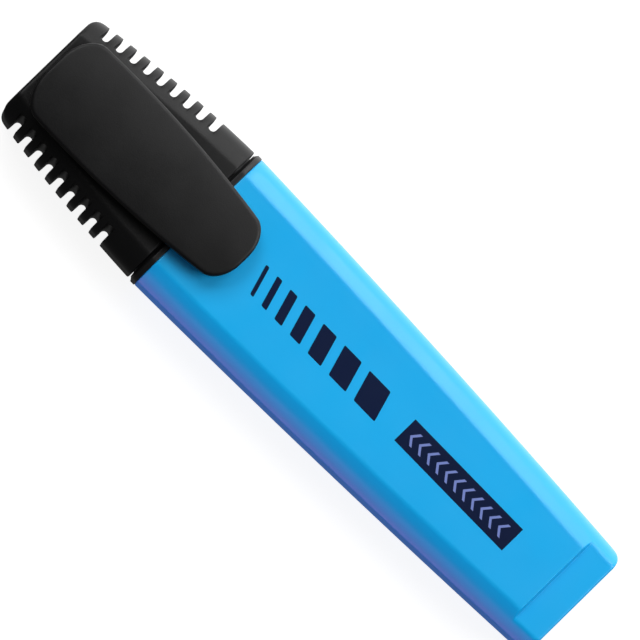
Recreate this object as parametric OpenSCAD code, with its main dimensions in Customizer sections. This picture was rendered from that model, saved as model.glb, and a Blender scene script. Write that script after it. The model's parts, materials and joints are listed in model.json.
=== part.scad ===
// Flat-bodied chisel-tip highlighter with a finned pull-off cap and a paddle clip.
// It lies on its back: +X points from the barrel to the cap, +Z out of the front face,
// and the origin is under the middle of the closed pen, on the surface it lies on.

/* [Body] */
// Length of the pen with its cap on
pen_len = 116; // [114:1:124]
// Thickness from the back face to the front face
body_t = 14; // [13.4:0.1:15]
// Width of the barrel at its front mouth
barrel_front_w = 27; // [26.6:0.1:29]
// Width of the barrel at its rear end
barrel_rear_w = 20.64; // [20:0.1:23]
// How far each side of the barrel bows out from a straight taper
barrel_bow = 0.44; // [0.2:0.02:0.8]
// Wall thickness of the barrel
barrel_wall = 1.25; // [1:0.05:1.5]

/* [Bevels] */
// Width of the side bevel, seen from the front
bevel_w = 3.9; // [3.2:0.05:4.2]
// Drop of the side bevel from the face to the flat side
bevel_h = 4.4; // [4:0.1:5]
// Radius of the corners at the rear end, seen from the front
rear_corner_r = 2.2; // [1:0.1:2.6]

/* [Rear pad] */
// Length of the lowered pad at the rear end
pad_len = 5.4; // [4:0.1:8]
// Depth of the lowered pad below the face
pad_drop = 0.95; // [0.5:0.05:1.1]

/* [Cap] */
// Length of the cap
cap_len = 31.9; // [31:0.1:32.4]
// Width of the cap at its closed end
cap_end_w = 20.9; // [20:0.1:22]
// Width of the cap at its mouth
cap_mouth_w = 26.9; // [26.5:0.1:28.9]
// How far each side of the cap bows out from a straight taper
cap_bow = 0.49; // [0.3:0.02:0.8]
// Wall thickness of the cap
cap_wall = 1.1; // [1:0.05:1.3]
// Radius of the corners at the closed end, seen from the front
cap_corner_r = 2.3; // [1.5:0.1:3]
// Slots cut in each side of the cap
slot_count = 9; // [7:1:9]
// Distance from one slot to the next
slot_pitch = 2.66; // [2.5:0.02:2.7]
// Width of a slot
slot_w = 1.33; // [1.1:0.01:1.5]
// Depth of a slot
slot_depth = 2.5; // [1.8:0.05:2.6]

/* [Clip] */
// Length of the clip's paddle
clip_len = 41.8; // [38:0.1:44]
// Widest part of the clip's paddle
clip_w = 15.74; // [13:0.1:16]
// Thickness of the clip's paddle
clip_t = 2; // [1.6:0.1:2.2]
// Gap between the paddle and the face under it
clip_gap = 1.8; // [1.4:0.05:2]

/* [Front section] */
// Thickness of the flange between the barrel and the cap
flange_t = 0.9; // [0.7:0.05:1.1]
// Width of the open line between the cap's mouth and the flange
cap_line = 0.6; // [0.4:0.05:0.8]
// Radius of the tube that holds the nib
nib_tube_r = 4.1; // [3.8:0.05:4.2]

/* [Ink] */
// Radius of the nib
nib_r = 2.7; // [2.2:0.05:2.9]
// Distance from the cap's closed end to the tip of the nib
nib_tip_s = 8.6; // [8.2:0.1:10]
// Half the width of the ink reservoir
core_hw = 6.6; // [6:0.1:7]
// Half the thickness of the ink reservoir
core_ht = 4.2; // [3.8:0.1:4.4]
// Length of the ink reservoir
core_len = 70.5; // [60:0.5:71]

/* [Hidden] */
$fn = 48;

eps = 0.01;
big = 60;                       // longer than any cutter has to be across the pen
steps = 12;                     // straight pieces along each bowed side

// Stations along the pen are distances s from the cap's closed end.
flange_s = cap_len + cap_line;
mouth_s = flange_s + flange_t;  // the barrel starts here
bevel_slope = 0.4;              // how steeply the bevel leaves the face
mid_z = body_t / 2;
half_t = body_t / 2;

// Fits, all radial or per side
press_gap = 0.03;               // pieces pushed together once and left
slide_gap = 0.06;               // the cap over the front section
hinge_gap = 0.03;               // the clip's knuckle in its groove

// Front section
tenon_s = 26.6;                 // front of the block that the cap grips
tenon_rear_len = 8;             // how far the section goes into the barrel
shoulder_in = 0.55;             // the shoulder that the cap's mouth meets, below the flange
cone_hw = 9.1;
cone_ht = 5.2;
cone_s = 25.8;                  // the cone's wide end
nib_tube_s = 13;                // the tube's open end
nib_tube_end_s = 18.2;
core_s = 33.5;                  // front of the reservoir
nib_tail = 2.5;                 // how far the nib goes into the reservoir
film_t = 0.2;
film_gap = 0.1;

// Cap
socket_s = 26.2;                // the wide socket behind the cap's mouth
chamber_s = 6.5;                // the narrower chamber for the inner cap
first_slot_s = 3.38;
inner_cap_s = 6.6;
inner_cap_mouth_s = 17.4;
inner_cap_r = 5.5;
inner_cap_wall = 0.9;
seal_len = 1.4;
seal_gap = 0.03;
spider_s = 14.2;
spider_t = 1.2;

// Clip
clip_s = 0.9;                   // the paddle's root end
clip_wide_s = 12;               // where the paddle is widest
clip_taper_r = 200;             // radius of the paddle's long edges
clip_root_len = 4;              // the root's corners are quarter ellipses
clip_root_drop = 5.9;
clip_tip_len = 3.3;             // and so are the tip's
clip_tip_drop = 4.6;
clip_edge = 0.4;                // chamfer round the paddle's top
clip_crown = 0.5;               // the middle of the paddle stands this much higher
clip_crown_in = 4.5;            // distance in from the edge where it is at full height
knuckle_r = 1.5;
knuckle_s = 3.6;
knuckle_len = 11;
bump_s = 38.6;
bump_r = 3.2;
bump_h = 1;

// Barrel inside
rear_wall = 1.4;
plug_hw = 7.2;
plug_ht = 4;
plug_corner_r = 1.8;
plug_depth = 7.4;
plug_plate = 1.5;
prong_r = 0.9;
rib_t = 0.9;
rib_y = 3;

ink_blue = [0.05, 0.45, 0.9];
barrel_blue = [0.08, 0.62, 0.93];

// ---- Outline functions ----

// Half-width at fraction t of a bowed taper from half-width a to half-width b
function bowed(t, a, b, bow) = a + (b - a) * t + 4 * bow * t * (1 - t);

function cap_hw(s) = bowed(s / cap_len, cap_end_w / 2, cap_mouth_w / 2, cap_bow);

function barrel_hw(s) =
    bowed((s - mouth_s) / (pen_len - mouth_s), barrel_front_w / 2, barrel_rear_w / 2, barrel_bow);

// The convex bevel as [distance in from the side, drop from the face], from the face down.
// It leaves the face at bevel_slope and meets the side without an edge.
function bevel(w, h, n = 3) =
    [for (i = [0:n]) let (t = i / n) [w * pow(1 - t, 2), 2 * t * (1 - t) * w * bevel_slope + t * t * h]];

function backwards(list) = [for (i = [len(list) - 1:-1:0]) list[i]];

// Cross-section of the pen: a flat box with bevelled sides, as [y, z] round the middle
function section(hw, ht, w = bevel_w, h = bevel_h) =
    let (side = [for (p = bevel(w, h)) [hw - p[0], ht - p[1]]])
    concat(
        side,
        [for (p = backwards(side)) [p[0], -p[1]]],
        [for (p = side) [-p[0], -p[1]]],
        [for (p = backwards(side)) [-p[0], p[1]]]
    );

// A section placed at station s
function station(s, outline) = [for (p = outline) [pen_len / 2 - s, p[0], mid_z + p[1]]];

// Evenly spaced stations from a to b
function between(a, b, n = steps) = [for (i = [0:n]) a + (b - a) * i / n];

// ---- Shape helpers ----

// Solid through a row of stations with the same number of points each
module loft(stations) {
    n = len(stations[0]);
    last = (len(stations) - 1) * n;
    polyhedron(
        points = [for (st = stations) each st],
        faces = concat(
            [[for (i = [0:n - 1]) i]],
            [
                for (k = [0:len(stations) - 2], i = [0:n - 1])
                    [k * n + i, (k + 1) * n + i, (k + 1) * n + (i + 1) % n, k * n + (i + 1) % n]
            ],
            [[for (i = [n - 1:-1:0]) last + i]]
        ),
        convexity = 4
    );
}

// Moves its child from [toward the cap, y, up from mid-thickness] at station s into place
module at(s, y = 0, z = 0) {
    translate([pen_len / 2 - s, y, mid_z + z]) children();
}

// Extrudes a [y, z] outline from station a to station b
module along(a, b) {
    at(b) rotate([90, 0, 90]) linear_extrude(b - a) children();
}

// Round bar along the pen from station a to station b
module rod(a, b, r) {
    at(b) rotate([0, 90, 0]) cylinder(r = r, h = b - a);
}

// Box with rounded corners, as a [y, z] outline
module rounded_box(hw, ht, r) {
    for (y = [-1, 1], z = [-1, 1])
        translate([y * (hw - r), z * (ht - r)]) circle(r);
    square([2 * (hw - r), 2 * ht], center = true);
    square([2 * hw, 2 * (ht - r)], center = true);
}

// Flat box with round sides, as a [y, z] outline
module stadium(hw, ht) {
    for (y = [-1, 1])
        translate([y * (hw - ht), 0]) circle(ht);
    square([2 * (hw - ht), 2 * ht], center = true);
}

// Prism that rounds the two plan corners at the end of the pen that lies at station s
module corner_trim(s, hw, r, toward) {
    at(s, 0, -big / 2)
        linear_extrude(big) {
            for (y = [-1, 1])
                translate([-toward * r, y * (hw - r)]) circle(r);
            translate([toward > 0 ? -r : 0, -(hw - r)]) square([r, 2 * (hw - r)]);
            translate([toward > 0 ? -pen_len - r : r, -big / 2]) square([pen_len, big]);
        }
}

// ---- Barrel ----

module barrel_outside() {
    intersection() {
        loft([for (s = between(mouth_s, pen_len)) station(s, section(barrel_hw(s), half_t))]);
        corner_trim(pen_len, barrel_hw(pen_len), rear_corner_r, -1);
    }
}

module barrel_inside() {
    in = barrel_wall;
    low_s = pen_len - pad_len - 1.5;
    loft([
        for (s = between(mouth_s - eps, low_s))
            station(s, section(barrel_hw(s) - in, half_t - in, bevel_w * 0.85, bevel_h * 0.9))
    ]);
    loft([
        for (s = between(low_s - eps, pen_len - rear_wall, 2))
            station(s, section(barrel_hw(s) - in, half_t - in - pad_drop, bevel_w * 0.7, bevel_h * 0.7))
    ]);
}

// Ribs that hold the reservoir in the middle of the barrel
module barrel_ribs() {
    first = mouth_s + tenon_rear_len + 2;
    last = pen_len - plug_depth - 0.4;
    top = core_ht + film_t + film_gap;
    side = core_hw + film_t + film_gap;
    root = half_t - barrel_wall / 2;
    for (y = [-rib_y, rib_y], z = [-1, 1])
        along(first, last)
            translate([y - rib_t / 2, z > 0 ? top : -root]) square([rib_t, root - top]);
    for (y = [-1, 1])
        intersection() {
            along(first, last)
                translate([y > 0 ? side : -side - big, -rib_t / 2]) square([big, rib_t]);
            loft([
                for (s = between(mouth_s, pen_len))
                    station(s, section(barrel_hw(s) - barrel_wall / 2, half_t))
            ]);
        }
}

module barrel_shell() {
    color(barrel_blue) {
        difference() {
            barrel_outside();
            barrel_inside();
            for (z = [-1, 1])
                at(pen_len - pad_len / 2, 0, z * (half_t - pad_drop + big / 2))
                    cube([pad_len + eps, big, big], center = true);
            along(pen_len - rear_wall - eps, pen_len + eps)
                rounded_box(plug_hw, plug_ht, plug_corner_r);
        }
        barrel_ribs();
    }
}

// Closes the rear of the barrel, and its prongs keep the reservoir against the nib
module end_plug() {
    hw = plug_hw - press_gap;
    ht = plug_ht - press_gap;
    color(barrel_blue) {
        difference() {
            along(pen_len - plug_depth, pen_len) rounded_box(hw, ht, plug_corner_r);
            along(pen_len - plug_depth - eps, pen_len - plug_plate)
                rounded_box(hw - 1, ht - 1, plug_corner_r - 1);
        }
        for (y = [-1, 1], z = [-1, 1])
            at(pen_len - plug_plate, y * (core_hw - core_ht), z * (ht - 1))
                rotate([0, 90, 0]) cylinder(r = prong_r, h = pen_len - plug_plate - core_s - core_len - film_gap);
    }
}

// ---- Front section, nib and ink ----

// Closes the front of the barrel, carries the cap and holds the nib
module front_section() {
    in = barrel_wall + press_gap;
    rear_s = mouth_s + tenon_rear_len;
    color("#161618")
        difference() {
            union() {
                loft([
                    for (s = [flange_s, mouth_s])
                        station(s, section(barrel_front_w / 2 + 0.1, half_t))
                ]);
                loft([
                    for (s = [cap_len + cap_line / 3, flange_s + eps])
                        station(s, section(barrel_front_w / 2 + 0.1 - shoulder_in, half_t - shoulder_in))
                ]);
                loft([
                    for (s = between(mouth_s - eps, rear_s, 2))
                        station(s, section(barrel_hw(s) - in, half_t - in, bevel_w * 0.85, bevel_h * 0.9))
                ]);
                loft([
                    for (s = between(tenon_s, flange_s + eps, 4))
                        station(s, cap_socket(s, slide_gap))
                ]);
                hull() {
                    along(cone_s, tenon_s + eps) rounded_box(cone_hw, cone_ht, 4);
                    rod(nib_tube_end_s, nib_tube_end_s + eps, nib_tube_r);
                }
                rod(nib_tube_s, nib_tube_end_s + 1, nib_tube_r);
            }
            rod(nib_tube_s - eps, core_s, nib_r + press_gap);
            along(core_s - film_t - film_gap, rear_s + eps)
                stadium(core_hw + film_t + film_gap, core_ht + film_t + film_gap);
        }
}

// Felt nib with a slanted chisel tip, broad across the pen and thin through it
module nib() {
    slant = 32;
    tip_t = 2.2;
    flank = 22;
    color(ink_blue)
        difference() {
            rod(nib_tip_s, core_s + nib_tail, nib_r);
            at(nib_tip_s, nib_r) rotate([0, 0, -slant])
                translate([0, -big / 4, -big / 2]) cube(big);
            for (z = [-1, 1])
                at(nib_tip_s, 0, z * tip_t / 2) rotate([0, z * flank, 0])
                    translate([-big / 2, -big / 2, z > 0 ? 0 : -big]) cube(big);
        }
}

module reservoir_core() {
    color(ink_blue)
        difference() {
            along(core_s, core_s + core_len) stadium(core_hw, core_ht);
            rod(core_s - eps, core_s + nib_tail, nib_r + 2 * eps);
        }
}

// Plastic film wrapped round the fibre core, open at both ends
module reservoir_film() {
    color("#e8eef4")
        difference() {
            along(core_s, core_s + core_len) stadium(core_hw + film_t, core_ht + film_t);
            along(core_s - eps, core_s + core_len + eps) stadium(core_hw, core_ht);
        }
}

// ---- Cap ----

// Cross-section of the socket behind the cap's mouth, or of what slides in it with a gap
function cap_socket(s, gap = 0) =
    section(
        cap_hw(s) - cap_wall - gap, half_t - cap_wall - gap,
        bevel_w * 0.85, bevel_h * 0.9
    );

// Cross-section of the chamber inside the slotted part of the cap
function cap_chamber(s, gap = 0) =
    section(
        cap_hw(s) - slot_depth - cap_wall - gap, half_t - cap_wall - gap,
        1.6, 1.6
    );

// One slot through the side of the cap, with a round bottom
module grip_slot(s, side) {
    bottom = cap_hw(s) - slot_depth + slot_w / 2;
    at(s, 0, -big / 2)
        linear_extrude(big) {
            translate([0, side * bottom]) circle(slot_w / 2);
            translate([-slot_w / 2, side > 0 ? bottom : -bottom - big]) square([slot_w, big]);
        }
}

module cap_shell() {
    color("#1c1c1e")
        difference() {
            intersection() {
                loft([for (s = between(0, cap_len)) station(s, section(cap_hw(s), half_t))]);
                corner_trim(0, cap_hw(0), cap_corner_r, 1);
            }
            for (i = [0:slot_count - 1], side = [-1, 1])
                grip_slot(first_slot_s + i * slot_pitch, side);
            loft([for (s = between(socket_s, cap_len + eps, 4)) station(s, cap_socket(s))]);
            loft([for (s = between(chamber_s, socket_s + eps, 4)) station(s, cap_chamber(s))]);
            at(knuckle_s, 0, half_t)
                rotate([90, 0, 0])
                    cylinder(r = knuckle_r + hinge_gap, h = knuckle_len + 2 * hinge_gap, center = true);
        }
}

// Soft cup inside the cap that seals round the nib's tube
module inner_cap() {
    color("#d9dde0")
        difference() {
            union() {
                rod(inner_cap_s, inner_cap_mouth_s, inner_cap_r);
                loft([
                    for (s = [spider_s, spider_s + spider_t])
                        station(s, cap_chamber(s, press_gap))
                ]);
            }
            rod(inner_cap_s + inner_cap_wall, inner_cap_mouth_s - seal_len, inner_cap_r - inner_cap_wall);
            rod(inner_cap_mouth_s - seal_len - eps, inner_cap_mouth_s + eps, nib_tube_r + seal_gap);
            for (y = [-1, 1])
                at(spider_s - 1, y * (inner_cap_r + 1.1))
                    cube([3 * spider_t + 4, 1.2, 5], center = true);
        }
}

// ---- Clip ----

// Half-width of the paddle at station s, on a long arc
function clip_hw(s) = clip_w / 2 - pow(s - clip_wide_s, 2) / (2 * clip_taper_r);

// One long edge of the paddle from root to tip, as [-s, half-width], with both corners
function clip_side() =
    let (
        end_s = clip_s + clip_len,
        quarter = [for (a = [0:10:90]) a],
        root = [
            for (a = quarter)
                let (s = clip_s + clip_root_len * (1 - cos(a)))
                [-s, clip_hw(s) - clip_root_drop * (1 - sin(a))]
        ],
        middle = [
            for (s = between(clip_s + clip_root_len + 1, end_s - clip_tip_len - 1, 14))
                [-s, clip_hw(s)]
        ],
        tip = [
            for (a = quarter)
                let (s = end_s - clip_tip_len * (1 - sin(a)))
                [-s, clip_hw(s) - clip_tip_drop * (1 - cos(a))]
        ]
    )
    concat(root, middle, tip);

// Plan outline of the paddle
module clip_outline() {
    side = clip_side();
    polygon(concat(side, [for (p = backwards(side)) [p[0], -p[1]]]));
}

module cap_clip() {
    under = half_t + clip_gap;
    color("#1c1c1e") {
        hull() {
            at(0, 0, under) linear_extrude(clip_t - clip_crown - clip_edge) clip_outline();
            at(0, 0, under) linear_extrude(clip_t - clip_crown) offset(delta = -clip_edge) clip_outline();
            at(0, 0, under) linear_extrude(clip_t) offset(delta = -clip_crown_in) clip_outline();
        }
        at(knuckle_s, 0, half_t)
            rotate([90, 0, 0]) cylinder(r = knuckle_r, h = knuckle_len, center = true);
        at(knuckle_s, 0, half_t + clip_gap / 2)
            cube([2 * knuckle_r, knuckle_len, clip_gap + 2 * eps], center = true);
        intersection() {
            at(bump_s, 0, under - bump_h + bump_r) sphere(bump_r);
            at(bump_s, 0, under - big / 2 + 0.3) cube(big, center = true);
        }
    }
}

barrel_shell();
end_plug();
front_section();
nib();
reservoir_core();
reservoir_film();
cap_shell();
inner_cap();
cap_clip();
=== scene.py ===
"""A flat highlighter with its cap on, lying on a pale floor. Lengths are in millimetres unless said."""
import json
import math

import bmesh
import bpy
import numpy as np
from mathutils import Matrix, Vector

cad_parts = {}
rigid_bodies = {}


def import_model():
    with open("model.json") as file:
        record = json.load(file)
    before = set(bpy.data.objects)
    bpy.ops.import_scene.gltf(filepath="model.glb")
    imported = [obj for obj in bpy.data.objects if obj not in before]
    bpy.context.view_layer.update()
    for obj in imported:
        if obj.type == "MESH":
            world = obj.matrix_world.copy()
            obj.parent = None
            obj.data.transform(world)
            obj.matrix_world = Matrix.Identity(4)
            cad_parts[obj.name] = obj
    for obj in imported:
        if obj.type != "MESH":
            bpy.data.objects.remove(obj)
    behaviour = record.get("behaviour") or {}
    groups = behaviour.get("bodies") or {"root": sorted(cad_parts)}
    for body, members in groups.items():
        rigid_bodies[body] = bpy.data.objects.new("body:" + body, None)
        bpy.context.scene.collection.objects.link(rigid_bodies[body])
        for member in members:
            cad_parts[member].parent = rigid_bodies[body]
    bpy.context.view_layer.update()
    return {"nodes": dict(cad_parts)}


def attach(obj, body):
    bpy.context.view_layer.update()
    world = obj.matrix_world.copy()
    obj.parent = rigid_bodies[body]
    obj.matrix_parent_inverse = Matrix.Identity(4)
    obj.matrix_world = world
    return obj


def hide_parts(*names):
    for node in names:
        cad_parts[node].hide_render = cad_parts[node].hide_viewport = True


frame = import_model()

# Stations along the pen, named s or ending in _S, are distances from the cap's closed end.
MM = 0.001          # metres in a millimetre
PEN_LEN = 116.0
MID_Z = 7.0         # height of the middle of the pen's thickness
HALF_T = 7.0        # half the pen's thickness
CAP_LEN = 31.9
SHOULDER_S = 32.1
FLANGE_S = 32.5
MOUTH_S = 33.4      # the barrel starts here
TUBE_S = 13.0       # open end of the nib's tube
NIB_S = 8.6         # tip of the nib
BEVEL_W = 3.9
BEVEL_H = 4.4
BEVEL_SLOPE = 0.4
WALL = 1.25         # barrel
CAP_WALL = 1.1


# ---------------------------------------------------------------- outline functions

def bowed(t, a, b, bow):
    """Half-width at fraction t of a bowed taper from a to b."""
    return a + (b - a) * t + 4 * bow * t * (1 - t)


def cap_hw(s):
    return bowed(s / CAP_LEN, 10.45, 13.45, 0.49)


def barrel_hw(s):
    return bowed((s - MOUTH_S) / (PEN_LEN - MOUTH_S), 13.5, 10.32, 0.44)


def smooth_min(a, b, k):
    """The lower of a and b, with the corner between them rounded over k."""
    gap = np.maximum(k - np.abs(a - b), 0)
    return np.minimum(a, b) - gap * gap / (4 * k)


def quarter(hw, ht, w=BEVEL_W, h=BEVEL_H, edge=0.4):
    """Section from the middle of the face to the middle of the side, as arrays y and z."""
    p0, p2 = np.array([hw - w, ht]), np.array([hw, ht - h])
    p1 = np.array([hw, ht - w * BEVEL_SLOPE])

    def curve(a, b, c, t):
        t = np.asarray(t)[:, None]
        return (1 - t) ** 2 * a + 2 * t * (1 - t) * b + t ** 2 * c

    bevel = curve(p0, p1, p2, np.linspace(edge / w / 2, 1, 26))
    start = p0 - [edge, 0]
    flat = np.stack([start[0] * np.linspace(0, 1, 9) ** 0.75, np.full(9, ht)], 1)
    corner = curve(start, p0, bevel[0], np.linspace(0, 1, 9)[1:-1])
    side = np.stack([np.full(3, hw), np.linspace(p2[1], 0, 4)[1:]], 1)
    return np.concatenate([flat, corner, bevel, side])


def hollow(hw, ht):
    """Quarter section of the inside of the barrel or the cap's mouth, and of what fits in it."""
    return quarter(hw, ht, BEVEL_W * 0.85, BEVEL_H * 0.9)


def ring_of(q):
    """Mirrors a quarter section into a whole ring of [y, z] points."""
    right_low = q[-2::-1] * [1, -1]
    left_low = q[1:] * [-1, -1]
    left_top = q[-2:0:-1] * [-1, 1]
    return np.concatenate([q, right_low, left_low, left_top])


def place(ring, s):
    """Puts a ring of [y, z] points at station s, in the frame's coordinates."""
    x = np.full(len(ring), PEN_LEN / 2 - s)
    return np.stack([x, ring[:, 0], ring[:, 1] + MID_Z], 1)


def shrink(q, e, keep=None):
    """Moves a quarter section in by e along its normals, only outside the half-width keep."""
    d = np.gradient(q, axis=0)
    d[-1] = [0, -1]
    d[0] = [1, 0]
    n = np.stack([-d[:, 1], d[:, 0]], 1)
    n /= np.linalg.norm(n, axis=1)[:, None] + 1e-9
    weight = 1.0 if keep is None else np.clip((q[:, 0] - keep) / 0.3, 0, 1)[:, None]
    out = q - n * e * weight
    out[:, 0] = np.maximum(out[:, 0], 0)
    out[:, 1] = np.maximum(out[:, 1], 0)
    return out


def rounded_quarter(hw, ht, r, count):
    """A quarter of a rounded box, with count points, from the top's middle to the side's middle."""
    steps = [np.array([[0, ht]]), np.array([[hw - r, ht]])]
    a = np.radians(np.linspace(90, 0, 24)[1:])
    steps.append(np.stack([hw - r + r * np.cos(a), ht - r + r * np.sin(a)], 1))
    steps.append(np.array([[hw, 0]]))
    path = np.concatenate(steps)
    length = np.concatenate([[0], np.cumsum(np.linalg.norm(np.diff(path, axis=0), axis=1))])
    at = np.linspace(0, length[-1], count)
    return np.stack([np.interp(at, length, path[:, k]) for k in (0, 1)], 1)


def matched(q, shape):
    """Points of the closed curve shape that lie in the same directions as the points of q."""
    want = np.arctan2(q[:, 0], q[:, 1])
    have = np.arctan2(shape[:, 0], shape[:, 1])
    radius = np.interp(want, have, np.hypot(shape[:, 0], shape[:, 1]))
    return np.stack([radius * np.sin(want), radius * np.cos(want)], 1)


# ---------------------------------------------------------------- mesh helpers

def build(name, verts, faces, sharp=38):
    """Makes an object from points in millimetres, smooth apart from edges over the sharp angle."""
    mesh = bpy.data.meshes.new(name)
    mesh.from_pydata([tuple(v) for v in np.asarray(verts) * MM], [], faces)
    bm = bmesh.new()
    bm.from_mesh(mesh)
    bmesh.ops.remove_doubles(bm, verts=bm.verts, dist=1e-7)
    bmesh.ops.dissolve_degenerate(bm, edges=bm.edges, dist=1e-8)
    bmesh.ops.recalc_face_normals(bm, faces=bm.faces)
    bm.to_mesh(mesh)
    bm.free()
    obj = bpy.data.objects.new(name, mesh)
    bpy.context.scene.collection.objects.link(obj)
    soften(obj, sharp)
    return obj


def soften(obj, sharp=38):
    """Shades the object smooth, apart from edges over the sharp angle in degrees."""
    obj.data.polygons.foreach_set("use_smooth", [True] * len(obj.data.polygons))
    obj.data.set_sharp_from_angle(angle=math.radians(sharp))


def loft_data(rings, loop=False):
    """Points and faces of a skin through rings, its ends closed unless the rings make a loop."""
    n = len(rings[0])
    verts = np.concatenate(rings)
    faces = []
    last = len(rings) if loop else len(rings) - 1
    for k in range(last):
        a, b = k * n, (k + 1) % len(rings) * n
        faces += [(a + i, a + (i + 1) % n, b + (i + 1) % n, b + i) for i in range(n)]
    if not loop:
        faces.append(tuple(range(n)))
        faces.append(tuple(range((len(rings) - 1) * n, len(rings) * n)))
    return verts, faces


def loft(name, rings, loop=False, sharp=38):
    return build(name, *loft_data(rings, loop), sharp=sharp)


def combine(obj, other, operation):
    """Boolean of obj with other, which is then deleted."""
    mod = obj.modifiers.new("bool", "BOOLEAN")
    mod.operation = operation
    mod.solver = "EXACT"
    mod.object = other
    done = bpy.data.meshes.new_from_object(obj.evaluated_get(bpy.context.evaluated_depsgraph_get()))
    obj.modifiers.clear()
    old = obj.data
    obj.data = done
    done.name = obj.name
    bpy.data.meshes.remove(old)
    mesh = other.data
    bpy.data.objects.remove(other)
    bpy.data.meshes.remove(mesh)
    soften(obj)


def finish_piece(obj, body, slot, material, *nodes):
    """Gives a piece its material and its body, and hides the CAD nodes that it stands for. The slot is not
    used.
    """
    obj.data.materials.clear()
    obj.data.materials.append(material)
    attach(obj, body)
    if nodes:
        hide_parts(*nodes)


def dress_node(name, material):
    """Gives a CAD node that stays visible its material."""
    obj = frame["nodes"][name]
    for k in range(max(1, len(obj.material_slots))):
        obj.material_slots[k].material = material


# ---------------------------------------------------------------- materials

def shader(name, color, roughness, specular=0.5, **sockets):
    """New material, as the material, its nodes, its links and its Principled shader."""
    mat = bpy.data.materials.new(name)
    mat.use_nodes = True
    nodes = mat.node_tree.nodes
    bsdf = nodes["Principled BSDF"]
    bsdf.inputs["Base Color"].default_value = (*color, 1)
    bsdf.inputs["Roughness"].default_value = roughness
    bsdf.inputs["Specular IOR Level"].default_value = specular
    for key, value in sockets.items():
        bsdf.inputs[key.replace("_", " ")].default_value = value
    return mat, nodes, mat.node_tree.links, bsdf


def noise(nodes, links, scale, detail=3, stretch=(1, 1, 1)):
    """3-D noise over the object's own coordinates. Scale is in features a metre."""
    coord = nodes.new("ShaderNodeTexCoord")
    mapping = nodes.new("ShaderNodeMapping")
    mapping.inputs["Scale"].default_value = stretch
    tex = nodes.new("ShaderNodeTexNoise")
    tex.inputs["Scale"].default_value = scale
    tex.inputs["Detail"].default_value = detail
    links.new(coord.outputs["Object"], mapping.inputs["Vector"])
    links.new(mapping.outputs["Vector"], tex.inputs["Vector"])
    return tex.outputs["Fac"]


def spread(nodes, links, value, low, high):
    """Maps the useful part of a noise to the range low to high."""
    node = nodes.new("ShaderNodeMapRange")
    node.inputs["From Min"].default_value = 0.3
    node.inputs["From Max"].default_value = 0.7
    node.inputs["To Min"].default_value = low
    node.inputs["To Max"].default_value = high
    links.new(value, node.inputs["Value"])
    return node.outputs["Result"]


def bump(nodes, links, bsdf, height, distance_mm):
    node = nodes.new("ShaderNodeBump")
    node.inputs["Distance"].default_value = distance_mm * MM
    node.inputs["Strength"].default_value = 1.0
    links.new(height, node.inputs["Height"])
    links.new(node.outputs["Normal"], bsdf.inputs["Normal"])


def two_tone(nodes, links, bsdf, factor, dark, light):
    mix = nodes.new("ShaderNodeMix")
    mix.data_type = "RGBA"
    mix.inputs[6].default_value = (*dark, 1)
    mix.inputs[7].default_value = (*light, 1)
    links.new(factor, mix.inputs[0])
    links.new(mix.outputs[2], bsdf.inputs["Base Color"])


def moulded(name, dark, light, rough, grain_mm, depth_mm, **sockets):
    """Moulded plastic: a fine grain, faint flow variation in its colour and uneven gloss."""
    mat, nodes, links, bsdf = shader(name, light, sum(rough) / 2, **sockets)
    flow = noise(nodes, links, 60, 2, (0.4, 1, 1))
    two_tone(nodes, links, bsdf, spread(nodes, links, flow, 0, 1), dark, light)
    handled = noise(nodes, links, 160, 5)
    links.new(spread(nodes, links, handled, *rough), bsdf.inputs["Roughness"])
    bump(nodes, links, bsdf, noise(nodes, links, 1000 / grain_mm, 2), depth_mm)
    return mat


BLUE = moulded("blue plastic", (0.002, 0.38, 0.78), (0.003, 0.41, 0.82),
               rough=(0.28, 0.34), grain_mm=0.5, depth_mm=0.004, specular=0.52)
BLACK = moulded("black plastic", (0.003, 0.003, 0.0033), (0.0045, 0.0045, 0.0048),
                rough=(0.38, 0.46), grain_mm=0.22, depth_mm=0.012, specular=0.3)
SATIN_BLACK = moulded("satin black plastic", (0.006, 0.006, 0.0065), (0.009, 0.009, 0.0095),
                      rough=(0.34, 0.42), grain_mm=0.3, depth_mm=0.005, specular=0.35)
SEAL = moulded("natural plastic", (0.62, 0.65, 0.67), (0.72, 0.75, 0.77),
               rough=(0.42, 0.5), grain_mm=0.6, depth_mm=0.006)
WRAP = moulded("wrapping film", (0.60, 0.74, 0.84), (0.68, 0.80, 0.88),
               rough=(0.2, 0.3), grain_mm=1.5, depth_mm=0.01)
PRINT = moulded("navy ink", (0.002, 0.007, 0.034), (0.003, 0.010, 0.042),
                rough=(0.38, 0.46), grain_mm=0.4, depth_mm=0.003, specular=0.1)
PRINT_LIGHT = moulded("lavender ink", (0.15, 0.20, 0.50), (0.19, 0.25, 0.56),
                      rough=(0.4, 0.5), grain_mm=0.4, depth_mm=0.003, specular=0.1)


def fibre(name, dark, light, stretch):
    """Bundled fibre or felt, with strands that run along the pen."""
    mat, nodes, links, bsdf = shader(name, light, 0.9, 0.25, Sheen_Weight=0.25)
    strands = noise(nodes, links, 3500, 4, stretch)
    two_tone(nodes, links, bsdf, spread(nodes, links, strands, 0, 1), dark, light)
    bump(nodes, links, bsdf, strands, 0.08)
    return mat


FELT = fibre("inked felt", (0.002, 0.11, 0.42), (0.006, 0.21, 0.66), (0.25, 1, 1))
FIBRE = fibre("inked fibre", (0.004, 0.16, 0.5), (0.02, 0.3, 0.72), (0.08, 1, 1))


# ---------------------------------------------------------------- barrel

PAD_S = 110.6            # where the lowered pad starts
PAD_DROP = 0.95
REAR_R = 2.3             # corners of the rear end, seen from the front
REAR_WALL = 1.4
PLUG = (7.2, 4.0, 1.8)   # the plug's hole: half-width, half-thickness and corner radius
PLUG_DEPTH = 7.4


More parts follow.
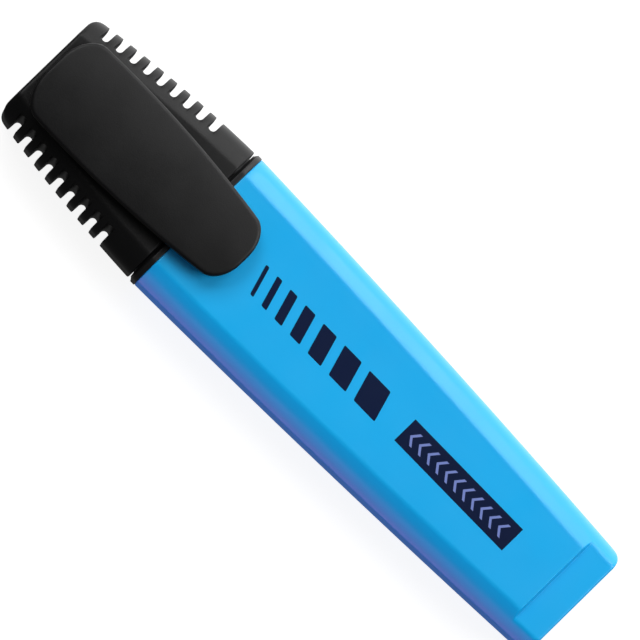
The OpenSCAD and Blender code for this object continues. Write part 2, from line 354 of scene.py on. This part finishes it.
def pad_drop(s):
    """How far the face has dropped at station s: a short step with rounded edges."""
    t = min(max((s - PAD_S + 0.22) / 0.5, 0), 1)
    return PAD_DROP * t * t * (3 - 2 * t)


def rear_quarter(s, inset=0.0):
    """Outer section of the barrel at station s, with the pad and the rounded rear corners."""
    q = quarter(barrel_hw(s), HALF_T)
    if s > PAD_S - 1:
        q[:, 1] = smooth_min(q[:, 1], np.full(len(q), HALF_T - pad_drop(s) + 0.06), 0.24)
    r = REAR_R
    if s > PEN_LEN - r:
        across = math.sqrt(max(r * r - (s - PEN_LEN + r) ** 2, 0))
        q[:, 0] = smooth_min(q[:, 0], np.full(len(q), barrel_hw(PEN_LEN - r) - r + across + 0.05), 0.2)
    return shrink(q, inset) if inset else q


def arc(count, radius):
    """Steps round a quarter circle, as [how far before the end, how far in]."""
    a = np.radians(np.linspace(0, 90, count))
    return np.stack([radius * (1 - np.sin(a)), radius * (1 - np.cos(a))], 1)


def barrel():
    def outside(s, inset=0.0, at=None):
        """Ring of the outer section for station s, drawn at station at."""
        return place(ring_of(rear_quarter(s, inset)), s if at is None else at)

    def inside(s, drop=0.0):
        return place(ring_of(hollow(barrel_hw(s) - WALL, HALF_T - WALL - drop)), s)

    rim = 0.22    # rounding of the front mouth
    edge = 0.4    # rounding of the rear end
    lip = 0.15    # rounding of the plug's hole
    last = PEN_LEN - 0.001
    rings = [outside(MOUTH_S + back, inset) for back, inset in arc(5, rim)[::-1]]
    stations = [
        *np.linspace(MOUTH_S + rim, PAD_S - 0.6, 60)[1:],
        *np.linspace(PAD_S - 0.5, PAD_S + 0.5, 21),
        *np.linspace(PAD_S + 0.7, PEN_LEN - REAR_R - 0.1, 8),
        *(PEN_LEN - REAR_R + REAR_R * math.sin(math.radians(a)) for a in range(0, 50, 7)),
    ]
    rings += [outside(s) for s in stations]
    rings += [outside(min(PEN_LEN - back, last), inset, PEN_LEN - back) for back, inset in arc(7, edge)]

    end_q = shrink(rear_quarter(last), edge)
    hole_out = matched(end_q, rounded_quarter(*(size + lip for size in PLUG), 200))
    hole_in = matched(end_q, rounded_quarter(*PLUG, 200))
    for q, s in ((hole_out, PEN_LEN), ((hole_out + hole_in) / 2, PEN_LEN - lip * 0.3),
                 (hole_in, PEN_LEN - lip), (hole_in, PEN_LEN - REAR_WALL)):
        rings.append(place(ring_of(q), s))
    rings += [inside(s, PAD_DROP) for s in (PEN_LEN - REAR_WALL, PEN_LEN - 5.5)]
    rings += [inside(s) for s in np.linspace(PEN_LEN - 7.2, MOUTH_S + 0.2, 14)]
    mouth = hollow(barrel_hw(MOUTH_S) - WALL, HALF_T - WALL)
    rings.append(place(ring_of(shrink(mouth, -0.15)), MOUTH_S))
    return loft("barrel_body", rings, loop=True)


finish_piece(barrel(), "barrel", "barrel_plastic", BLUE, "barrel_shell")


def end_plug():
    gap, wall, plate = 0.04, 1, 1.5
    hw, ht, r = PLUG
    full = rounded_quarter(hw - gap, ht - gap, r, 40)
    thin = rounded_quarter(hw - gap - wall, ht - gap - wall, r - wall, 40)
    rings = [place(ring_of(shrink(full, inset)), PEN_LEN - back) for back, inset in arc(6, 0.25)][::-1]
    for q, depth in ((full, PLUG_DEPTH), (thin, PLUG_DEPTH), (thin, plate)):
        rings.append(place(ring_of(q), PEN_LEN - depth))
    return loft("rear_plug", rings)


finish_piece(end_plug(), "barrel", "barrel_plastic", BLUE, "end_plug")


# ---------------------------------------------------------------- front section

SLIDE_GAP = 0.06     # between the cap and the block that it grips
BLOCK_S = 26.6       # front of that block
CONE_S = 25.8        # wide end of the cone
CONE_LEN = 7.6
TUBE_R = 4.1
BORE_R = 2.73        # the nib's hole


def front_section():
    rings = []

    def add(q, s):
        rings.append(place(ring_of(q), s))

    def socket(s):
        return hollow(cap_hw(s) - CAP_WALL - SLIDE_GAP, HALF_T - CAP_WALL - SLIDE_GAP)

    for s in (41.4, 38, 35, MOUTH_S - 0.01):
        add(hollow(barrel_hw(s) - WALL - 0.03, HALF_T - WALL - 0.03), s)
    flange = quarter(13.6, HALF_T)
    rounding = 0.16
    for back, inset in arc(5, rounding)[::-1]:
        add(shrink(flange, inset), MOUTH_S - back)
    for back, inset in arc(5, rounding):
        add(shrink(flange, inset), FLANGE_S + back)
    add(shrink(flange, rounding), FLANGE_S)
    for back, inset in arc(3, 0.1):
        add(shrink(flange, 0.55 + inset), SHOULDER_S + back)
    for s in (SHOULDER_S, 31, 29.5, 28, 27.2):
        add(socket(s), s)
    for back, inset in arc(5, 0.5):
        add(shrink(socket(BLOCK_S + back), inset), BLOCK_S + back)

    base = socket(BLOCK_S)

    def disc(radius):
        return matched(base, rounded_quarter(radius, radius, radius - 1e-4, 400))

    block = matched(base, rounded_quarter(9.1, 5.2, 4, 200))
    add(block, BLOCK_S - 0.02)
    for t in np.linspace(0, 1, 9):
        ease = t * t * (3 - 2 * t)
        add(block * (1 - ease) + disc(TUBE_R) * ease, CONE_S - t * CONE_LEN)
    for s in (17.2, 16, 14.4):
        add(disc(TUBE_R), s)
    for back, inset in arc(6, 0.45):
        add(disc(TUBE_R - inset), TUBE_S + back)
    for back, inset in arc(4, 0.2)[::-1]:
        add(disc(BORE_R + inset), TUBE_S + back)
    for s in (15, 20, 27, 33):
        add(disc(BORE_R), s)
    return loft("grip_section", rings)


finish_piece(front_section(), "barrel", "section_plastic", SATIN_BLACK, "front_section")


NIB_R = 2.7
NIB_SLANT = math.radians(32)
NIB_FLANK = math.radians(22)
NIB_TIP_HALF = 1.1   # half the chisel's thickness at its tip


def nib():
    """Felt rod cut to a chisel: two flanks and one slanted end, with worn edges."""
    a = np.linspace(0, 2 * math.pi, 72, endpoint=False)
    circle = np.stack([NIB_R * np.cos(a), NIB_R * np.sin(a)], 1)
    rings = [place(circle, s) for s in np.linspace(NIB_S, 36, 30)]
    obj = loft("chisel_nib", rings)
    bm = bmesh.new()
    bm.from_mesh(obj.data)
    tip = PEN_LEN / 2 - NIB_S
    cuts = [((tip, NIB_R, MID_Z), (math.cos(NIB_SLANT), -math.sin(NIB_SLANT), 0))]
    for z in (-1, 1):
        cuts.append(((tip, 0, MID_Z + z * NIB_TIP_HALF),
                     (math.sin(NIB_FLANK), 0, z * math.cos(NIB_FLANK))))
    for point, normal in cuts:
        geom = bm.verts[:] + bm.edges[:] + bm.faces[:]
        cut = bmesh.ops.bisect_plane(bm, geom=geom, plane_co=Vector(point) * MM, plane_no=normal,
                                     clear_outer=True)
        edges = [e for e in cut["geom_cut"] if isinstance(e, bmesh.types.BMEdge)]
        bmesh.ops.edgeloop_fill(bm, edges=edges)
    bmesh.ops.remove_doubles(bm, verts=bm.verts, dist=1e-6)
    edges = [e for e in bm.edges if len(e.link_faces) == 2 and e.calc_face_angle(0) > math.radians(22)
             and max(v.co.x for v in e.verts) > (PEN_LEN / 2 - 24) * MM]
    bmesh.ops.bevel(bm, geom=edges, offset=0.18 * MM, segments=3, profile=0.5, affect="EDGES",
                    clamp_overlap=True)
    bmesh.ops.recalc_face_normals(bm, faces=bm.faces)
    bm.to_mesh(obj.data)
    bm.free()
    soften(obj, 30)
    return obj


finish_piece(nib(), "barrel", "nib_felt", FELT, "nib")
dress_node("reservoir_core", FIBRE)
dress_node("reservoir_film", WRAP)


# ---------------------------------------------------------------- cap

SLOT_COUNT = 9
SLOT_W = 1.33
SLOT_DEPTH = 2.5
SLOT_PITCH = 2.66
FIRST_SLOT = 3.38
CHAMBER_S = 6.5      # the chamber for the inner cap
SOCKET_S = 26.2      # the wider socket behind the cap's mouth


def cap():
    rings = []

    def add(s, clamp=None, inset=0.0, keep=None, ht=HALF_T, soft=0.14):
        q = quarter(cap_hw(s), ht)
        if inset:
            q = shrink(q, inset, keep)
        if clamp is not None:
            q[:, 0] = smooth_min(q[:, 0], np.full(len(q), clamp), soft)
        rings.append(place(ring_of(q), s))

    corner = 2.45
    edge = 0.55
    base = cap_hw(corner) - corner
    for a in np.radians([0, 6, 12, 18, 25, 32, 39, 46, 54, 62, 71, 80, 88]):
        s = corner * (1 - math.cos(a))
        drop = edge - math.sqrt(edge ** 2 - max(edge - s, 0) ** 2)
        add(s, base + corner * math.sin(a) + 0.06, ht=HALF_T - drop, soft=0.22)
    q = SLOT_W / 2
    edge_r = 0.17
    for i in range(SLOT_COUNT):
        c = FIRST_SLOT + i * SLOT_PITCH
        bottom = cap_hw(c) - SLOT_DEPTH
        keep = bottom - 0.15
        for back, inset in arc(5, edge_r):
            add(c - q - back, None, inset, keep)
        for a in np.radians(np.linspace(0, 180, 15)):
            add(c - q * math.cos(a), bottom + q - q * math.sin(a))
        for back, inset in arc(5, edge_r)[::-1]:
            add(c + q + back, None, inset, keep)
        if i < SLOT_COUNT - 1:
            add(c + SLOT_PITCH / 2)
    for s in np.linspace(SOCKET_S, CAP_LEN - 0.3, 7):
        add(s)
    for back, inset in arc(6, 0.25):
        add(CAP_LEN - back, None, inset)

    def socket(s):
        return hollow(cap_hw(s) - CAP_WALL, HALF_T - CAP_WALL)

    for s, lip in ((CAP_LEN, 0.2), (CAP_LEN - 0.06, 0.08), (CAP_LEN - 0.2, 0)):
        rings.append(place(ring_of(shrink(socket(CAP_LEN), -lip)), s))
    for s in (30, 28, SOCKET_S):
        rings.append(place(ring_of(socket(s)), s))
    for s in (SOCKET_S, 20, 13, CHAMBER_S):
        chamber = quarter(cap_hw(s) - SLOT_DEPTH - CAP_WALL, HALF_T - CAP_WALL, 1.6, 2.0)
        rings.append(place(ring_of(chamber), s))
    return loft("cap_body", rings)


finish_piece(cap(), "cap", "cap_plastic", BLACK, "cap_shell")
dress_node("inner_cap", SEAL)


# ---------------------------------------------------------------- clip

CLIP_S = 0.9
CLIP_LEN = 41.8
CLIP_END = CLIP_S + CLIP_LEN
CLIP_UNDER = HALF_T + 1.8
CLIP_T = 2.0
ROOT_LEN, ROOT_DROP = 4.0, 5.9    # the corners are quarter ellipses
TIP_LEN, TIP_DROP = 3.3, 4.6


def clip_width(s):
    """Half-width of the paddle at station s, with its elliptical corners."""
    w = 7.87 - (s - 12) ** 2 / 400
    if s < CLIP_S + ROOT_LEN:
        t = (CLIP_S + ROOT_LEN - s) / ROOT_LEN
        w -= ROOT_DROP * (1 - math.sqrt(max(1 - t * t, 0)))
    if s > CLIP_END - TIP_LEN:
        t = (s - CLIP_END + TIP_LEN) / TIP_LEN
        w -= TIP_DROP * (1 - math.sqrt(max(1 - t * t, 0)))
    return w


def clip_stations(corner, middle):
    """Stations along the paddle, closer together at its corners."""
    a = np.radians(np.linspace(0, 90, corner))
    return np.concatenate([
        CLIP_S + ROOT_LEN * (1 - np.cos(a)),
        np.linspace(CLIP_S + ROOT_LEN, CLIP_END - TIP_LEN, middle)[1:-1],
        CLIP_END - TIP_LEN * (1 - np.cos(a[::-1])),
    ])


def rounded_drop(r, d):
    """How far a surface with its edge rounded to r has dropped at distance d from the edge."""
    return r - math.sqrt(r ** 2 - max(r - d, 0) ** 2)


def clip():
    side = np.array([(s, clip_width(s)) for s in clip_stations(80, 200)])
    ends = [np.array([(s, y) for y in np.linspace(0, clip_width(s), 30)]) for s in (CLIP_S, CLIP_END)]
    border = np.concatenate([side, *ends])
    top_r, low_r = 0.5, 0.3
    insets = np.array([0, 0.015, 0.06, 0.13, 0.23, 0.35, 0.5, 0.66, 0.85])

    def mirrored(row):
        return row + [(x, -y, z) for x, y, z in row[-2::-1]]

    top, low = [], []
    for s in clip_stations(22, 44):
        w = clip_width(s)
        row_top, row_low = [], []
        for y in np.concatenate([w - insets, np.linspace(w - 1.1, 0, 9)]):
            d = np.min(np.hypot(border[:, 0] - s, border[:, 1] - y))
            crown = -0.6 * (y / 7.9) ** 2
            z_top = CLIP_UNDER + CLIP_T + crown - rounded_drop(top_r, d)
            z_low = CLIP_UNDER + rounded_drop(low_r, d)
            row_top.append((PEN_LEN / 2 - s, y, MID_Z + z_top))
            row_low.append((PEN_LEN / 2 - s, y, MID_Z + z_low))
        top.append(mirrored(row_top))
        low.append(mirrored(row_low))
    rows, n = len(top), len(top[0])
    verts = [v for row in top for v in row] + [v for row in low for v in row]
    base = rows * n
    faces = []
    for i in range(rows - 1):
        for j in range(n - 1):
            k = i * n + j
            faces.append((k, k + 1, k + n + 1, k + n))
            faces.append((base + k, base + k + n, base + k + n + 1, base + k + 1))
        for j in (0, n - 1):
            k = i * n + j
            faces.append((k, k + n, base + k + n, base + k))
    for i in (0, rows - 1):
        for j in range(n - 1):
            k = i * n + j
            faces.append((k, base + k, base + k + 1, k + 1))
    obj = build("clip_paddle", verts, faces)
    # Root block and knuckle, in one closed outline extruded across the pen
    cx, cz, r = PEN_LEN / 2 - 3.6, MID_Z + HALF_T, 1.5
    around = np.radians(np.linspace(180, 360, 25))
    profile = [(cx + r * math.cos(t), cz + r * math.sin(t)) for t in around]
    profile += [(cx + r, cz + 1.1), (cx + r + 0.35, cz + 1.62), (cx + r + 0.9, cz + 1.9)]
    profile += [(cx - r - 1.6, cz + 1.9), (cx - r - 0.7, cz + 1.5), (cx - r, cz + 0.8)]
    rings = [np.array([(x, y, z) for x, z in profile]) for y in (-5.5, 5.5)]
    combine(obj, loft("root", rings), "UNION")
    # Grip bump under the tip: a low dome that meets the paddle at a small fillet
    bx = PEN_LEN / 2 - 38.6
    dome = []
    for radius, z in ((2.35, 0.2), (2.3, -0.05), (2.05, -0.42), (1.6, -0.72), (1.0, -0.92), (0.4, -0.99)):
        t = np.linspace(0, 2 * math.pi, 40, endpoint=False)
        level = np.full(40, MID_Z + CLIP_UNDER + z)
        dome.append(np.stack([bx + radius * np.cos(t), radius * np.sin(t), level], 1))
    combine(obj, loft("bump", dome), "UNION")
    return obj


finish_piece(clip(), "clip", "cap_plastic", BLACK, "cap_clip")


# ---------------------------------------------------------------- print

FACE_Z = 2 * HALF_T
PRINT_Y = 0.2        # the marks lie this far off the pen's middle line
INK_T = 0.012


def flat_shapes(name, shapes, z):
    """Thin printed shapes on the face: each is a list of [s, y] points."""
    verts, faces = [], []
    for shape in shapes:
        n, first = len(shape), len(verts)
        for level in (z, z + INK_T):
            verts += [(PEN_LEN / 2 - s, y + PRINT_Y, level) for s, y in shape]
        faces.append(tuple(range(first, first + n)))
        faces.append(tuple(range(first + n, first + 2 * n)))
        for i in range(n):
            j = (i + 1) % n
            faces.append((first + i, first + j, first + n + j, first + n + i))
    return build(name, verts, faces)


def slanted_bar(s, width, half, lean=1.5):
    """Outline of a leaning bar with rounded corners."""
    r = min(0.28, width * 0.4)
    pts = []
    corners = [(s + i * width / 2 + lean * j / 2, j * half) for i, j in ((-1, -1), (1, -1), (1, 1), (-1, 1))]
    for i in range(4):
        p, c, n = (np.array(corners[(i + k) % 4]) for k in (-1, 0, 1))
        start = c + (p - c) / np.linalg.norm(p - c) * r
        end = c + (n - c) / np.linalg.norm(n - c) * r
        for t in np.linspace(0, 1, 6):
            pts.append((1 - t) ** 2 * start + 2 * t * (1 - t) * c + t * t * end)
    return pts


bars = []
at = 46.2
for width in (0.7, 1.1, 1.6, 2.2, 2.9, 3.7, 4.6):
    bars.append(slanted_bar(at + width / 2, width, 2.5))
    at += width + 1.75
finish_piece(flat_shapes("width_marks", bars, FACE_Z), "barrel", "barrel_plastic", PRINT)

panel = [(78.4, -2.3), (102.0, -2.3), (102.0, 2.3), (78.4, 2.3)]
finish_piece(flat_shapes("label_panel", [panel], FACE_Z), "barrel", "barrel_plastic", PRINT)


def chevron(s, half, reach, stroke):
    """A thin arrowhead that points at the cap."""
    return [(s, 0), (s + reach, -half), (s + reach + stroke, -half), (s + stroke, 0),
            (s + reach + stroke, half), (s + reach, half)]


arrows = [chevron(79.6 + i * 1.93, 1.25, 1.0, 0.5) for i in range(11)]
finish_piece(flat_shapes("label_arrows", arrows, FACE_Z + INK_T), "barrel", "barrel_plastic", PRINT_LIGHT)


# ---------------------------------------------------------------- floor, lights and camera

FLOOR_Z = -0.1 * MM  # in metres, just below the pen's back, so the two faces don't fight
FLOOR_HALF = 3.0     # metres


def stage_floor():
    """A pale floor that neither shades nor tints the pen."""
    mesh = bpy.data.meshes.new("floor")
    corners = [(x * FLOOR_HALF, y * FLOOR_HALF, FLOOR_Z) for x, y in ((-1, -1), (1, -1), (1, 1), (-1, 1))]
    mesh.from_pydata(corners, [], [(0, 1, 2, 3)])
    obj = bpy.data.objects.new("floor", mesh)
    bpy.context.scene.collection.objects.link(obj)
    mat, _, _, bsdf = shader("pale floor", (0.25, 0.25, 0.25), 0.9, 0.1)
    bsdf.inputs["Emission Color"].default_value = (1, 1, 1, 1)
    bsdf.inputs["Emission Strength"].default_value = 0.9
    mesh.materials.append(mat)
    obj.visible_diffuse = False
    obj.visible_glossy = False
    obj.visible_shadow = False


def area_light(name, position, size, power, color=(1, 1, 1)):
    """Rectangular light aimed at the pen. Position and size are in metres, power in watts."""
    target = (0, 0, 0.01)
    data = bpy.data.lights.new(name, "AREA")
    data.shape = "RECTANGLE"
    data.size, data.size_y = size
    data.energy = power
    data.color = color
    obj = bpy.data.objects.new(name, data)
    obj.location = position
    obj.rotation_euler = (Vector(target) - Vector(position)).to_track_quat("-Z", "Y").to_euler()
    bpy.context.scene.collection.objects.link(obj)
    return obj


stage_floor()
area_light("key", (0, -0.8, 0.6), (0.3, 0.9), 3.8)
area_light("head fill", (0.6, -0.4, 0.85), (0.6, 0.6), 4.9)
area_light("tail fill", (-0.6, -0.45, 0.85), (0.6, 0.6), 7.1)
# The violet light reaches the blue pieces only
violet = area_light("violet fill", (0, 0.8, -0.15), (0.8, 1.2), 4.2, (0.78, 0.42, 1.0))
tinted = bpy.data.collections.new("lit violet")
for obj in bpy.context.scene.objects:
    if obj.type == "MESH" and obj.data.materials and obj.data.materials[0] == BLUE:
        tinted.objects.link(obj)
violet.light_linking.receiver_collection = tinted

world = bpy.data.worlds.new("studio")
world.use_nodes = True
nodes, links = world.node_tree.nodes, world.node_tree.links
coord = nodes.new("ShaderNodeTexCoord")
split = nodes.new("ShaderNodeSeparateXYZ")
links.new(coord.outputs["Generated"], split.inputs["Vector"])


def sky_blend(axis, start, stop, below, above):
    """Blends two greys or sockets by the world direction's Y or Z."""
    ramp = nodes.new("ShaderNodeMapRange")
    ramp.interpolation_type = "SMOOTHSTEP"
    ramp.inputs["From Min"].default_value = start
    ramp.inputs["From Max"].default_value = stop
    links.new(split.outputs[axis], ramp.inputs["Value"])
    mix = nodes.new("ShaderNodeMix")
    mix.data_type = "RGBA"
    for socket, value in ((mix.inputs[6], below), (mix.inputs[7], above)):
        if isinstance(value, float):
            socket.default_value = (value, value, value, 1)
        else:
            links.new(value, socket)
    links.new(ramp.outputs["Result"], mix.inputs[0])
    return mix.outputs[2]


low = sky_blend("Y", -0.8, -0.05, 1.8, 0.1)
high = sky_blend("Y", -0.4, 0.5, 0.16, 0.07)
links.new(sky_blend("Z", -0.05, 0.4, low, high), nodes["Background"].inputs["Color"])
bpy.context.scene.world = world
bpy.context.scene.view_settings.view_transform = "Standard"

TURN = math.radians(45.74)   # the pen's lean in the frame
TILT = math.radians(6.0)     # how far the camera stands off the straight view down
DISTANCE = 1.6               # metres
VIEW_MM = 98.49              # width of the view at the target
SENSOR = 36
along = Vector((-1, 0, 0))
across = Vector((0, -math.cos(TILT), math.sin(TILT)))
toward = Vector((0, math.sin(TILT), math.cos(TILT)))
right = along * math.cos(TURN) + across * math.sin(TURN)
up = across * math.cos(TURN) - along * math.sin(TURN)
cam = bpy.data.cameras.new("camera")
cam.sensor_width = SENSOR
cam.lens = SENSOR * DISTANCE / (VIEW_MM * MM)
cam.clip_end = 10
cam_obj = bpy.data.objects.new("camera", cam)
bpy.context.scene.collection.objects.link(cam_obj)
target = Vector((0.72, -2.97, MID_Z)) * MM
basis = Matrix((right, up, toward)).transposed().to_4x4()
cam_obj.matrix_world = Matrix.Translation(target + toward * DISTANCE) @ basis
bpy.context.scene.camera = cam_obj
